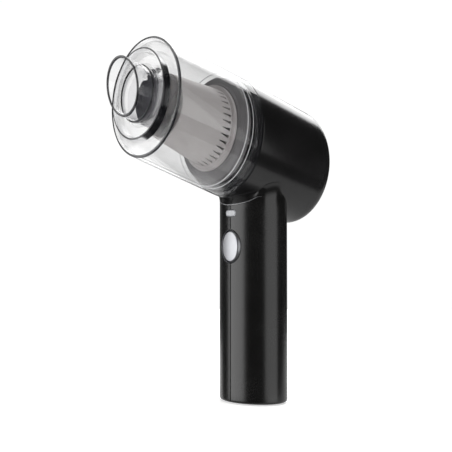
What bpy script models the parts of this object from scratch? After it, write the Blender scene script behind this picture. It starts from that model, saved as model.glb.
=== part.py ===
"""Cordless pistol-shaped hand vacuum: upright battery handle, tilted barrel with motor and
fan, and a clear pull-off dust cup with a short inlet tube, flap and washable filter.

Metres, +Z up, front is -Y. The handle axis is the Z axis and the rest pad lies on z = 0.
The barrel axis crosses the handle axis at height CROSS_Z and rises toward the front.
"""
import math

import bmesh
import bpy
from mathutils import Matrix, Vector

GAP = 0.0003

# barrel frame
CROSS_Z = 0.1374
TILT = math.radians(16.5)
RAKE = math.tan(math.radians(12.5))
MOUTH_RAKE = math.tan(math.radians(23.7))

# handle
HANDLE_HALF_W = 0.0210
HANDLE_HALF_D = 0.0162
HANDLE_WALL = 0.0020
HANDLE_BOTTOM = 0.0004
SCREW_X = 0.0140

# barrel
BARREL_R = 0.0312
BARREL_WALL = 0.0020
BARREL_FRONT_T = 0.0206
BARREL_REAR_T = -0.0330
REAR_ROUND = 0.0130

# dust cup and inlet
CUP_REAR_T = 0.0209
CUP_FRONT_T = 0.0759
CUP_FRONT_R = 0.0302
CUP_WALL = 0.0016
STEP_R = 0.0228
STEP_T = 0.0801
INLET_R = 0.0138
INLET_WALL = 0.0018
INLET_MOUTH_T = 0.0897
INLET_INNER_T = 0.0720
FLAP_R = 0.0134
FLAP_T = 0.0706
FLAP_THICK = 0.0010
FLAP_PIN_UP = 0.0147
FLAP_PIN_T = 0.0704
LUG_X = (0.0046, 0.0060)

# filter cone
CONE_FRONT_T = 0.0632
CONE_FRONT_R = 0.0166
CONE_FOOT_R = 0.0203
CONE_FOOT_T = 0.0338
CONE_SLOTS = 36

# controls
BUTTON_Z = 0.0840
LENS_Z = 0.1020

BIG_SEGMENTS = 48
MID_SEGMENTS = 32

AXIS = Vector((0.0, -math.cos(TILT), math.sin(TILT)))
ACROSS = Vector((1.0, 0.0, 0.0))
UPWARD = Vector((0.0, math.sin(TILT), math.cos(TILT)))
CROSSING = Vector((0.0, 0.0, CROSS_Z))


def clear_scene():
    for old in list(bpy.data.objects):
        bpy.data.objects.remove(old, do_unlink=True)


def barrel_point(across, up, along, rake=0.0):
    """Point of the barrel frame; rake leans a plane forward at the top."""
    return CROSSING + ACROSS * across + UPWARD * up + AXIS * (along + rake * up)


def make_material(name, colour, roughness, metallic=0.0, alpha=1.0):
    mat = bpy.data.materials.new(name)
    mat.use_nodes = True
    shader = mat.node_tree.nodes["Principled BSDF"]
    shader.inputs["Base Color"].default_value = (*colour, 1.0)
    shader.inputs["Roughness"].default_value = roughness
    shader.inputs["Metallic"].default_value = metallic
    shader.inputs["Alpha"].default_value = alpha
    return mat


def finish(name, bm, mat=None, origin=None, sharp=35.0):
    """Turn a bmesh into a named object with outward faces and an optional pivot."""
    bmesh.ops.remove_doubles(bm, verts=bm.verts, dist=1e-6)
    bmesh.ops.recalc_face_normals(bm, faces=bm.faces)
    mesh = bpy.data.meshes.new(name)
    bm.to_mesh(mesh)
    bm.free()
    obj = bpy.data.objects.new(name, mesh)
    bpy.context.scene.collection.objects.link(obj)
    if mat is not None:
        mesh.materials.append(mat)
    for face in mesh.polygons:
        face.use_smooth = True
    mesh.set_sharp_from_angle(angle=math.radians(sharp))
    if origin is not None:
        mesh.transform(Matrix.Translation(-origin))
        obj.location = origin
    return obj


def combine(target, tool, operation):
    """Exact boolean of one solid with another; the tool solid is used up."""
    bpy.context.view_layer.update()
    step = target.modifiers.new("combine", "BOOLEAN")
    step.operation = operation
    step.solver = "EXACT"
    step.object = tool
    graph = bpy.context.evaluated_depsgraph_get()
    shaped = bpy.data.meshes.new_from_object(target.evaluated_get(graph), depsgraph=graph)
    target.modifiers.remove(step)
    mats = [m for m in target.data.materials]
    bm = bmesh.new()
    bm.from_mesh(shaped)
    bmesh.ops.remove_doubles(bm, verts=bm.verts, dist=2e-6)
    bmesh.ops.dissolve_degenerate(bm, edges=bm.edges, dist=1e-6)
    flat = [f for f in bm.faces if len(f.verts) > 4]
    bmesh.ops.triangulate(bm, faces=flat)
    bm.to_mesh(shaped)
    bm.free()
    shaped.materials.clear()
    for m in mats:
        shaped.materials.append(m)
    for face in shaped.polygons:
        face.material_index = 0
        face.use_smooth = True
    shaped.set_sharp_from_angle(angle=math.radians(35.0))
    target.data = shaped
    bpy.data.objects.remove(tool, do_unlink=True)
    return target


def cut(target, tool):
    return combine(target, tool, "DIFFERENCE")


def join(target, tool):
    return combine(target, tool, "UNION")


def turned(name, profile, segments, mat=None, rake=0.0, closed=True, origin=None):
    """Solid of revolution about the barrel axis from (radius, along[, rake]) points."""
    bm = bmesh.new()
    rings = []
    for point in profile:
        radius = point[0]
        along = point[1]
        lean = point[2] if len(point) > 2 else rake
        if radius == 0.0:
            rings.append([bm.verts.new(barrel_point(0.0, 0.0, along))])
            continue
        ring = []
        for i in range(segments):
            a = 2.0 * math.pi * i / segments
            place = barrel_point(radius * math.sin(a), radius * math.cos(a), along, lean)
            ring.append(bm.verts.new(place))
        rings.append(ring)
    pairs = list(zip(rings[:-1], rings[1:]))
    if closed and len(rings[0]) > 1 and len(rings[-1]) > 1:
        pairs.append((rings[-1], rings[0]))
    for first, second in pairs:
        for i in range(segments):
            j = (i + 1) % segments
            corners = []
            for vert in (first[i % len(first)], first[j % len(first)],
                         second[j % len(second)], second[i % len(second)]):
                if vert not in corners:
                    corners.append(vert)
            if len(corners) > 2:
                bm.faces.new(corners)
    return finish(name, bm, mat, origin)


def prism(name, outline, low, high, to_world, mat=None, origin=None):
    """Solid between two copies of a plane outline; to_world(a, b, depth) places a point."""
    bm = bmesh.new()
    first = [bm.verts.new(to_world(a, b, low)) for a, b in outline]
    second = [bm.verts.new(to_world(a, b, high)) for a, b in outline]
    count = len(outline)
    for i in range(count):
        j = (i + 1) % count
        bm.faces.new((first[i], first[j], second[j], second[i]))
    bm.faces.new(first)
    bm.faces.new(list(reversed(second)))
    return finish(name, bm, mat, origin)


def upright(a, b, depth):
    return Vector((a, b, depth))


def outwards(turn):
    """Outline round the barrel and along it, with its depth outwards at one angle round the axis."""
    def to_world(shift, along, reach):
        across = reach * math.sin(turn) + shift * math.cos(turn)
        up = reach * math.cos(turn) - shift * math.sin(turn)
        return barrel_point(across, up, along, RAKE)
    return to_world


def facing(a, b, depth):
    """Outline in X and Z, depth along Y."""
    return Vector((a, depth, b))


def sideways(a, b, depth):
    """Outline in barrel along and up, depth along X."""
    return barrel_point(depth, b, a)


def along_barrel(a, b, depth):
    return barrel_point(a, b, depth)


def oval(half_a, half_b, count, centre_a=0.0, centre_b=0.0, start=0.0):
    points = []
    for i in range(count):
        angle = start + 2.0 * math.pi * i / count
        points.append((centre_a + half_a * math.cos(angle), centre_b + half_b * math.sin(angle)))
    return points


def rounded_box(half_a, half_b, corner, centre_a=0.0, centre_b=0.0, steps=4):
    points = []
    for quarter in range(4):
        sign_a = 1.0 if quarter in (0, 3) else -1.0
        sign_b = 1.0 if quarter in (0, 1) else -1.0
        for k in range(steps + 1):
            angle = 0.5 * math.pi * (quarter + k / steps)
            a = centre_a + sign_a * (half_a - corner) + corner * math.cos(angle)
            b = centre_b + sign_b * (half_b - corner) + corner * math.sin(angle)
            points.append((a, b))
    return points


def rectangle(low_a, high_a, low_b, high_b):
    return [(low_a, low_b), (high_a, low_b), (high_a, high_b), (low_a, high_b)]


def stacked(name, levels, to_world, mat=None, origin=None):
    """Solid through matching outlines at rising depths: levels of (outline, depth)."""
    bm = bmesh.new()
    rings = []
    for outline, depth in levels:
        rings.append([bm.verts.new(to_world(a, b, depth)) for a, b in outline])
    count = len(rings[0])
    for lower, upper in zip(rings[:-1], rings[1:]):
        for i in range(count):
            j = (i + 1) % count
            bm.faces.new((lower[i], lower[j], upper[j], upper[i]))
    bm.faces.new(rings[0])
    bm.faces.new(list(reversed(rings[-1])))
    return finish(name, bm, mat, origin)


def rod(name, centre, direction, radius, length, segments, mat=None):
    """Plain round solid used for pins, shanks and bores."""
    direction = direction.normalized()
    side = direction.orthogonal().normalized()
    other = direction.cross(side)
    bm = bmesh.new()
    ends = []
    for shift in (-0.5 * length, 0.5 * length):
        ring = []
        for i in range(segments):
            a = 2.0 * math.pi * i / segments
            offset = side * (radius * math.cos(a)) + other * (radius * math.sin(a))
            ring.append(bm.verts.new(centre + direction * shift + offset))
        ends.append(ring)
    for i in range(segments):
        j = (i + 1) % segments
        bm.faces.new((ends[0][i], ends[0][j], ends[1][j], ends[1][i]))
    bm.faces.new(ends[0])
    bm.faces.new(list(reversed(ends[1])))
    return finish(name, bm, mat)


# ---------------------------------------------------------------- handle

def half_shell_outline(side, trim, wall, count=22):
    """Half of the oval handle wall in plan; side is -1 or +1, trim insets the outside."""
    parting = 0.5 * GAP
    outer_w = HANDLE_HALF_W - trim
    outer_d = HANDLE_HALF_D - trim
    inner_w = HANDLE_HALF_W - wall
    inner_d = HANDLE_HALF_D - wall
    first = math.asin(parting / outer_w)
    points = []
    for i in range(count + 1):
        a = -0.5 * math.pi + first + (math.pi - 2.0 * first) * i / count
        points.append((side * outer_w * math.cos(a), outer_d * math.sin(a)))
    first = math.asin(parting / inner_w)
    for i in range(count + 1):
        a = 0.5 * math.pi - first - (math.pi - 2.0 * first) * i / count
        points.append((side * inner_w * math.cos(a), inner_d * math.sin(a)))
    return points


def handle_openings():
    """Cutters for button, lens and charging socket, made fresh for each half."""
    button = prism("hole", oval(0.0079, 0.0094, 32, 0.0, BUTTON_Z), -0.020, -0.010, facing)
    lens = prism("hole", rounded_box(0.0045, 0.0022, 0.0009, 0.0, LENS_Z), -0.020, -0.010, facing)
    socket = prism("hole", rounded_box(0.0049, 0.0020, 0.0019, 0.0, 0.0116), 0.010, 0.020, facing)
    return [button, lens, socket]


def build_handle_half(name, side, mat):
    levels = []
    for rise, trim in ((0.0, 0.0014), (0.0003, 0.0007), (0.0008, 0.0002), (0.0016, 0.0)):
        levels.append((half_shell_outline(side, trim, HANDLE_WALL), HANDLE_BOTTOM + rise))
    levels.append((half_shell_outline(side, 0.0, HANDLE_WALL), 0.128))
    shell = stacked(name, levels, upright, mat)
    clearance = turned("clearance", [(0.0, -0.06), (BARREL_R + GAP, -0.06),
                                     (BARREL_R + GAP, 0.06), (0.0, 0.06)], 72)
    cut(shell, clearance)
    for tool in handle_openings():
        cut(shell, tool)
    return shell


def build_base_cap(mat):
    inner_w = HANDLE_HALF_W - HANDLE_WALL - GAP
    inner_d = HANDLE_HALF_D - HANDLE_WALL - GAP
    cap = prism("handle_base_cap", oval(inner_w, inner_d, 48), 0.0006, 0.0040, upright, mat)
    cut(cap, prism("recess", oval(0.0163, 0.0113, 40), -0.001, 0.0016, upright))
    for x in (-SCREW_X, SCREW_X):
        cut(cap, rod("counterbore", Vector((x, 0.0, 0.0021)), Vector((0, 0, 1)), 0.0022, 0.0018, 20))
        cut(cap, rod("bore", Vector((x, 0.0, 0.004)), Vector((0, 0, 1)), 0.0012, 0.004, 16))
    return cap


def build_base_pad(mat):
    return stacked("base_pad", [(oval(0.0152, 0.0102, 40), 0.0), (oval(0.0157, 0.0107, 40), 0.0004),
                                (oval(0.0157, 0.0107, 40), 0.0013)], upright, mat)


def build_base_screw(name, x, mat):
    """Self-tapping screw, its head sunk in the cap above the pad and its shank in a cradle leg."""
    head = rod(name, Vector((x, 0.0, 0.00218)), Vector((0, 0, 1)), 0.00185, 0.00104, 16, mat)
    shank = rod("shank", Vector((x, 0.0, 0.0065)), Vector((0, 0, 1)), 0.0009, 0.0080, 12)
    return join(head, shank)


# ---------------------------------------------------------------- handle inside

def build_cradle(mat):
    base = prism("battery_cradle", oval(0.0184, 0.0136, 40), 0.0168, 0.0192, upright, mat)
    join(base, prism("spine", rectangle(-0.0025, 0.0025, 0.0084, 0.0125), 0.0180, 0.0884, upright))
    join(base, prism("top", rectangle(-0.0138, 0.0138, -0.0086, 0.0090), 0.0866, 0.0884, upright))
    for x in (-SCREW_X, SCREW_X):
        leg = rod("leg", Vector((x, 0.0, 0.01105)), Vector((0, 0, 1)), 0.0022, 0.0135, 16)
        join(base, leg)
    for x in (-SCREW_X, SCREW_X):
        cut(base, rod("bore", Vector((x, 0.0, 0.0079)), Vector((0, 0, 1)), 0.0012, 0.0094, 16))
    return base


def build_cell(name, x, mat):
    low = 0.0206
    high = 0.0856
    radius = 0.0091
    levels = [(oval(radius - 0.0006, radius - 0.0006, 32, x, 0.0005), low),
              (oval(radius, radius, 32, x, 0.0005), low + 0.0005),
              (oval(radius, radius, 32, x, 0.0005), high - 0.0022),
              (oval(radius - 0.0004, radius - 0.0004, 32, x, 0.0005), high - 0.0018),
              (oval(radius - 0.0005, radius - 0.0005, 32, x, 0.0005), high - 0.0010)]
    cell = stacked(name, levels, upright, mat)
    nub = rod("nub", Vector((x, 0.0005, high - 0.0008)), Vector((0, 0, 1)), 0.0028, 0.0016, 20)
    return join(cell, nub)


def build_link_plate(mat):
    return prism("cell_link_plate", rounded_box(0.0135, 0.0030, 0.0010, 0.0, 0.0005),
                 0.0196, 0.0202, upright, mat)


def build_control_board(mat):
    return prism("control_board", rounded_box(0.0088, 0.0192, 0.0010, 0.0, 0.0872),
                 -0.0112, -0.0098, facing, mat)


def build_charge_board(mat):
    return prism("charge_board", rounded_box(0.0100, 0.0098, 0.0010, 0.0, 0.0),
                 0.0082, 0.0094, upright, mat)


def build_usb_socket(mat):
    shell = prism("usb_socket", rounded_box(0.0045, 0.0016, 0.0015, 0.0, 0.0116),
                  0.0085, 0.0157, facing, mat)
    cut(shell, prism("mouth", rounded_box(0.0041, 0.0012, 0.0011, 0.0, 0.0116),
                     0.0100, 0.0170, facing))
    tongue = prism("tongue", rectangle(-0.0030, 0.0030, 0.0113, 0.0119), 0.0090, 0.0150, facing)
    return join(shell, tongue)


def build_led_emitter(mat):
    return prism("led_emitter", rounded_box(0.0017, 0.0014, 0.0003, 0.0, LENS_Z),
                 -0.0124, -0.0115, facing, mat)


def build_led_lens(mat):
    outline = rounded_box(0.0042, 0.0019, 0.0007, 0.0, LENS_Z)
    softened = rounded_box(0.0040, 0.0017, 0.0006, 0.0, LENS_Z)
    return stacked("led_lens", [(softened, -0.0164), (outline, -0.0162), (outline, -0.0132)],
                   facing, mat)


def build_tact_switch(mat):
    case = prism("tact_switch", rounded_box(0.0030, 0.0030, 0.0003, 0.0, BUTTON_Z),
                 -0.0130, -0.0115, facing, mat)
    stem = rod("stem", Vector((0.0, -0.0131, BUTTON_Z)), Vector((0, 1, 0)), 0.0016, 0.0010, 16)
    return join(case, stem)


def build_bezel(mat):
    outer = stacked("button_bezel",
                    [(oval(0.0070, 0.0085, 36, 0.0, BUTTON_Z), -0.0173),
                     (oval(0.0076, 0.0091, 36, 0.0, BUTTON_Z), -0.0168),
                     (oval(0.0076, 0.0091, 36, 0.0, BUTTON_Z), -0.0142)], facing, mat)
    return cut(outer, prism("inside", oval(0.0065, 0.0080, 36, 0.0, BUTTON_Z), -0.02, -0.01, facing))


def build_power_button(mat):
    """Dished oval key with a short stem that reaches for the switch."""
    face = -0.0172
    origin = Vector((0.0, face, BUTTON_Z))
    rings = [(0.0, 0.0, face + 0.0007), (0.0030, 0.0037, face + 0.00055),
             (0.0048, 0.0060, face + 0.00025), (0.0057, 0.0071, face),
             (0.0061, 0.0076, face + 0.0003), (0.0062, 0.0077, face + 0.0008),
             (0.0062, 0.0077, face + 0.0021), (0.0016, 0.0016, face + 0.0021),
             (0.0016, 0.0016, face + 0.0025), (0.0, 0.0, face + 0.0025)]
    bm = bmesh.new()
    loops = []
    count = 36
    for half_a, half_b, depth in rings:
        if half_a == 0.0:
            loops.append([bm.verts.new((0.0, depth, BUTTON_Z))])
            continue
        loops.append([bm.verts.new((a, depth, b)) for a, b in oval(half_a, half_b, count, 0.0, BUTTON_Z)])
    for first, second in zip(loops[:-1], loops[1:]):
        for i in range(count):
            j = (i + 1) % count
            if len(first) == 1:
                bm.faces.new((first[0], second[i], second[j]))
            elif len(second) == 1:
                bm.faces.new((first[i], second[0], first[j]))
            else:
                bm.faces.new((first[i], second[i], second[j], first[j]))
    return finish("power_button", bm, mat, origin)


# ---------------------------------------------------------------- barrel

def rear_round(radius, corner, rear, steps):
    """Quarter-round rear edge running from the barrel side to the rear face."""
    points = []
    for k in range(steps + 1):
        a = 0.5 * math.pi * k / steps
        points.append((radius - corner + corner * math.cos(a), rear + corner - corner * math.sin(a)))
    return points


def build_barrel_housing(mat):
    outer = [(0.0, BARREL_FRONT_T), (BARREL_R - 0.0003, BARREL_FRONT_T, RAKE),
             (BARREL_R, BARREL_FRONT_T - 0.0003, RAKE)]
    outer += [(r, t, RAKE) for r, t in rear_round(BARREL_R, REAR_ROUND, BARREL_REAR_T, 6)]
    outer.append((0.0, BARREL_REAR_T))
    housing = turned("barrel_housing", outer, BIG_SEGMENTS, mat)
    join(housing, prism("neck", rectangle(-0.0140, 0.0140, -0.0070, 0.0090), 0.0950, 0.1120, upright))
    inner_r = BARREL_R - BARREL_WALL
    hollow = [(0.0, 0.040), (inner_r, 0.040, RAKE)]
    hollow += [(r, t, RAKE) for r, t in rear_round(inner_r, REAR_ROUND - 0.002,
                                                  BARREL_REAR_T + BARREL_WALL, 3)]
    hollow.append((0.0, BARREL_REAR_T + BARREL_WALL))
    cut(housing, turned("hollow", hollow, BIG_SEGMENTS))
    vent = [(0.0, -0.05), (0.0170, -0.05, RAKE), (0.0170, -0.02, RAKE), (0.0, -0.02)]
    cut(housing, turned("vent", vent, MID_SEGMENTS))
    cut(housing, prism("passage", rectangle(-0.0124, 0.0124, -0.0054, 0.0074), 0.090, 0.1125, upright))
    return housing


def build_exhaust_grille(mat):
    radius = 0.0170 - GAP
    rear = BARREL_REAR_T - 0.0002
    disc = [(0.0, rear), (radius - 0.0005, rear, RAKE), (radius, rear + 0.0005, RAKE),
            (radius, rear + 0.0024, RAKE), (0.0, rear + 0.0024)]
    grille = turned("exhaust_grille", disc, MID_SEGMENTS, mat)
    slot_half = 0.0008
    for k in range(-4, 5):
        across = 0.0031 * k
        reach = math.sqrt(0.0148 ** 2 - across ** 2)
        outline = rounded_box(slot_half, reach, 0.00079, across, 0.0, 2)
        cut(grille, prism("slot", outline, -0.045, -0.020, along_barrel))
    return grille


def build_exhaust_filter(mat):
    disc = [(0.0, -0.0302), (0.0168, -0.0302, RAKE), (0.0168, -0.0284, RAKE), (0.0, -0.0284)]
    return turned("exhaust_filter", disc, MID_SEGMENTS, mat)


def build_front_collar(mat):
    outer = BARREL_R - BARREL_WALL - GAP
    ring = [(outer, 0.0140), (outer, 0.0230), (outer - 0.0008, 0.0230), (outer - 0.0008, 0.0246),
            (outer, 0.0246), (outer, 0.0257), (outer - 0.0003, 0.0260), (0.0262, 0.0260),
            (0.0262, 0.0160), (0.0220, 0.0160), (0.0220, 0.0140)]
    return turned("front_collar", ring, BIG_SEGMENTS, mat, RAKE)


def build_collar_seal(mat):
    low = 0.0281 + GAP
    ring = [(low, 0.0233), (low + 0.0007, 0.0233), (low + 0.0009, 0.0238),
            (low + 0.0007, 0.0243), (low, 0.0243)]
    return turned("collar_seal", ring, BIG_SEGMENTS, mat, RAKE)


def build_fan_shroud(mat):
    outer = BARREL_R - BARREL_WALL - GAP
    ring = [(0.0095, 0.0070), (outer, 0.0070), (outer, -0.0026), (outer - 0.0015, -0.0026),
            (outer - 0.0015, 0.0056), (0.0105, 0.0056), (0.0095, 0.0060)]
    return turned("fan_shroud", ring, BIG_SEGMENTS, mat)


def build_motor_plate(mat):
    outer = BARREL_R - BARREL_WALL - GAP
    ring = [(0.0040, -0.0029), (outer, -0.0029), (outer, -0.0047), (0.0040, -0.0047)]
    plate = turned("motor_plate", ring, MID_SEGMENTS, mat)
    for k in range(8):
        a = 2.0 * math.pi * (k + 0.5) / 8
        port = oval(0.0032, 0.0032, 12, 0.0215 * math.sin(a), 0.0215 * math.cos(a))
        cut(plate, prism("port", port, -0.0060, -0.0010, along_barrel))
    for x in (-0.0080, 0.0080):
        cut(plate, prism("bore", oval(0.0013, 0.0013, 12, x, 0.0), -0.0060, -0.0010, along_barrel))
    return plate


def build_motor_can(mat):
    ring = [(0.0015, -0.0050), (0.0132, -0.0050), (0.0140, -0.0058), (0.0140, -0.0212),
            (0.0015, -0.0212)]
    can = turned("motor_can", ring, MID_SEGMENTS, mat)
    for x in (-0.0080, 0.0080):
        cut(can, prism("bore", oval(0.0013, 0.0013, 12, x, 0.0), -0.0100, -0.0040, along_barrel))
    return can


def build_motor_end(mat):
    ring = [(0.0015, -0.0215), (0.0138, -0.0215), (0.0138, -0.0232), (0.0090, -0.0240),
            (0.0015, -0.0240)]
    end = turned("motor_end_bell", ring, MID_SEGMENTS, mat)
    for x in (-0.0070, 0.0070):
        tab = prism("tab", rectangle(x - 0.0014, x + 0.0014, -0.0003, 0.0003), -0.0262, -0.0230,
                    along_barrel)
        join(end, tab)
    return end


def build_motor_screw(name, x, mat):
    head = rod(name, barrel_point(x, 0.0, -0.0021), AXIS, 0.0020, 0.0010, 16, mat)
    return join(head, rod("shank", barrel_point(x, 0.0, -0.0055), AXIS, 0.0010, 0.0068, 12))


def build_motor_shaft(mat):
    origin = CROSSING.copy()
    ring = [(0.0, 0.0046), (0.0008, 0.0046), (0.0010, 0.0044), (0.0010, -0.0250), (0.0, -0.0250)]
    return turned("motor_shaft", ring, 16, mat, origin=origin)


def build_impeller(mat):
    """Backward-curved centrifugal fan wheel with a bored hub."""
    ring = [(0.0013, 0.0044), (0.0036, 0.0044), (0.0048, 0.0030), (0.0060, 0.0004),
            (0.0240, -0.0002), (0.0240, -0.0014), (0.0013, -0.0014)]
    wheel = turned("impeller", ring, MID_SEGMENTS, mat)
    blades = 9
    for k in range(blades):
        base = 2.0 * math.pi * k / blades
        inner = []
        outer = []
        for i in range(6):
            s = i / 5
            radius = 0.0064 + (0.0236 - 0.0064) * s
            angle = base - 0.95 * s
            half = 0.00055 / radius
            inner.append((radius * math.sin(angle - half), radius * math.cos(angle - half)))
            outer.append((radius * math.sin(angle + half), radius * math.cos(angle + half)))
        blade = prism("blade", inner + list(reversed(outer)), -0.0008, 0.0047, along_barrel)
        join(wheel, blade)
    wheel.data.transform(Matrix.Translation(-CROSSING))
    wheel.location = CROSSING
    return wheel


# ---------------------------------------------------------------- dust cup

def build_dust_cup(mat):
    inner_front = CUP_FRONT_R - CUP_WALL
    wall = [(BARREL_R - 0.0002, CUP_REAR_T), (BARREL_R, CUP_REAR_T + 0.0003),
            (CUP_FRONT_R, CUP_FRONT_T - 0.0014), (CUP_FRONT_R - 0.0004, CUP_FRONT_T - 0.0004),
            (CUP_FRONT_R - 0.0014, CUP_FRONT_T), (STEP_R, CUP_FRONT_T),
            (STEP_R, STEP_T - 0.0008), (STEP_R - 0.0008, STEP_T),
            (INLET_R + GAP, STEP_T), (INLET_R + GAP, STEP_T - 0.0017),
            (STEP_R - 0.0017, STEP_T - 0.0017), (STEP_R - 0.0017, CUP_FRONT_T - 0.0017),
            (inner_front, CUP_FRONT_T - 0.0017), (BARREL_R - CUP_WALL, CUP_REAR_T + 0.005),
            (BARREL_R - CUP_WALL, CUP_REAR_T)]
    return turned("dust_cup", wall, BIG_SEGMENTS, mat, RAKE)


def build_inlet_tube(mat):
    bore = INLET_R - INLET_WALL
    wall = [(INLET_R - 0.0002, INLET_MOUTH_T, MOUTH_RAKE), (bore + 0.0002, INLET_MOUTH_T, MOUTH_RAKE),
            (bore, INLET_MOUTH_T - 0.0003, MOUTH_RAKE), (bore, INLET_INNER_T, RAKE),
            (INLET_R, INLET_INNER_T, RAKE), (INLET_R, 0.0764, RAKE), (0.0156, 0.0764, RAKE),
            (0.0156, 0.0781, RAKE), (INLET_R, 0.0781, RAKE),
            (INLET_R, INLET_MOUTH_T - 0.0003, MOUTH_RAKE)]
    tube = turned("inlet_tube", wall, MID_SEGMENTS, mat)
    for side in (-1.0, 1.0):
        lug = [(0.0722, 0.0114), (0.0757, 0.0114), (0.0757, 0.0160), (0.0722, 0.0160)]
        join(tube, prism("lug", lug, side * LUG_X[0], side * LUG_X[1], sideways))
    cut(tube, rod("bore", flap_pivot(), ACROSS, 0.0007, 0.020, 12))
    return tube


def flap_pivot():
    return barrel_point(0.0, FLAP_PIN_UP, FLAP_PIN_T, RAKE)


def build_inlet_flap(mat):
    """Rubber flap over the inner end of the inlet tube, hanging from a knuckle at the top."""
    pivot = flap_pivot()
    front = FLAP_T + FLAP_THICK
    disc = turned("inlet_flap", [(0.0, front), (FLAP_R, front), (FLAP_R, FLAP_T), (0.0, FLAP_T)], 36, mat, RAKE)
    trim = [(0.0690, 0.0107), (0.0790, 0.0107), (0.0790, 0.0150), (0.0690, 0.0150)]
    for side in (-1.0, 1.0):
        cut(disc, prism("trim", trim, side * 0.0041, side * 0.0140, sideways))
    strap = [(FLAP_T + RAKE * 0.0090, 0.0090), (front + RAKE * 0.0090, 0.0090),
             (front - 0.0002 + RAKE * FLAP_PIN_UP, FLAP_PIN_UP), (FLAP_T - 0.0006 + RAKE * FLAP_PIN_UP, FLAP_PIN_UP)]
    join(disc, prism("strap", strap, -0.0040, 0.0040, sideways))
    join(disc, rod("knuckle", pivot, ACROSS, 0.0013, 0.0082, 20))
    cut(disc, rod("bore", pivot, ACROSS, 0.0007, 0.020, 12))
    disc.data.transform(Matrix.Translation(-pivot))
    disc.location = pivot
    return disc


def build_flap_pin(mat):
    return rod("flap_pin", flap_pivot(), ACROSS, 0.0004, 0.0124, 12, mat)


# ---------------------------------------------------------------- filter

def build_filter_frame(mat):
    ring = [(0.0274, 0.0264), (0.0276, 0.0268), (0.0276, 0.0292), (0.0268, 0.0300), (0.0240, 0.0304),
            (0.0228, 0.0312), (0.0210, 0.0312), (0.0210, 0.0264)]
    return turned("filter_frame", ring, BIG_SEGMENTS, mat, RAKE)


def build_filter_pleats(mat):
    """Folded paper ring: an even zigzag wall between frame and end cap."""
    pleats = 30
    outline = []
    for k in range(2 * pleats):
        radius = 0.0206 if k % 2 == 0 else 0.0170
        a = math.pi * k / pleats
        outline.append((radius, a))
    bm = bmesh.new()
    rings = []
    for inset, along, lean in ((0.0, 0.0108, 0.0), (0.0, 0.0308, RAKE),
                               (0.0012, 0.0308, RAKE), (0.0012, 0.0108, 0.0)):
        ring = []
        for radius, a in outline:
            r = radius - inset
            ring.append(bm.verts.new(barrel_point(r * math.sin(a), r * math.cos(a), along, lean)))
        rings.append(ring)
    count = 2 * pleats
    for first, second in zip(rings, rings[1:] + rings[:1]):
        for i in range(count):
            j = (i + 1) % count
            bm.faces.new((first[i], first[j], second[j], second[i]))
    return finish("filter_pleats", bm, mat, sharp=20.0)


def build_filter_end(mat):
    disc = [(0.0, 0.0105), (0.0208, 0.0105), (0.0208, 0.0094), (0.0200, 0.0088), (0.0, 0.0088)]
    return turned("filter_end_cap", disc, MID_SEGMENTS, mat)


def build_prefilter_cone(mat):
    """Long pale cone guarding the pleats: tapered air slots at its foot, an open nose for the flap."""
    wall = [(0.0224, 0.0315), (0.0223, 0.0329), (CONE_FOOT_R + 0.0004, 0.0333), (CONE_FOOT_R, CONE_FOOT_T),
            (CONE_FRONT_R, CONE_FRONT_T - 0.0006), (CONE_FRONT_R - 0.0004, CONE_FRONT_T),
            (CONE_FRONT_R - 0.0010, CONE_FRONT_T), (CONE_FRONT_R - 0.0011, CONE_FRONT_T - 0.0004),
            (0.0171, 0.0492), (0.0168, 0.0487), (0.0, 0.0487), (0.0, 0.0475), (0.0170, 0.0475),
            (0.0174, 0.0470), (0.0191, 0.0334), (0.0196, 0.0322), (0.0212, 0.0319), (0.0212, 0.0315)]
    cone = turned("prefilter_cone", wall, CONE_SLOTS, mat, RAKE)
    corners = [(-0.00075, 0.0341), (0.00075, 0.0341), (0.00015, 0.0388), (-0.00015, 0.0388)]
    for k in range(CONE_SLOTS):
        a = 2.0 * math.pi * (k + 0.5) / CONE_SLOTS
        cut(cone, prism("slot", corners, 0.0170, 0.0215, outwards(a)))
    return cone


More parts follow.
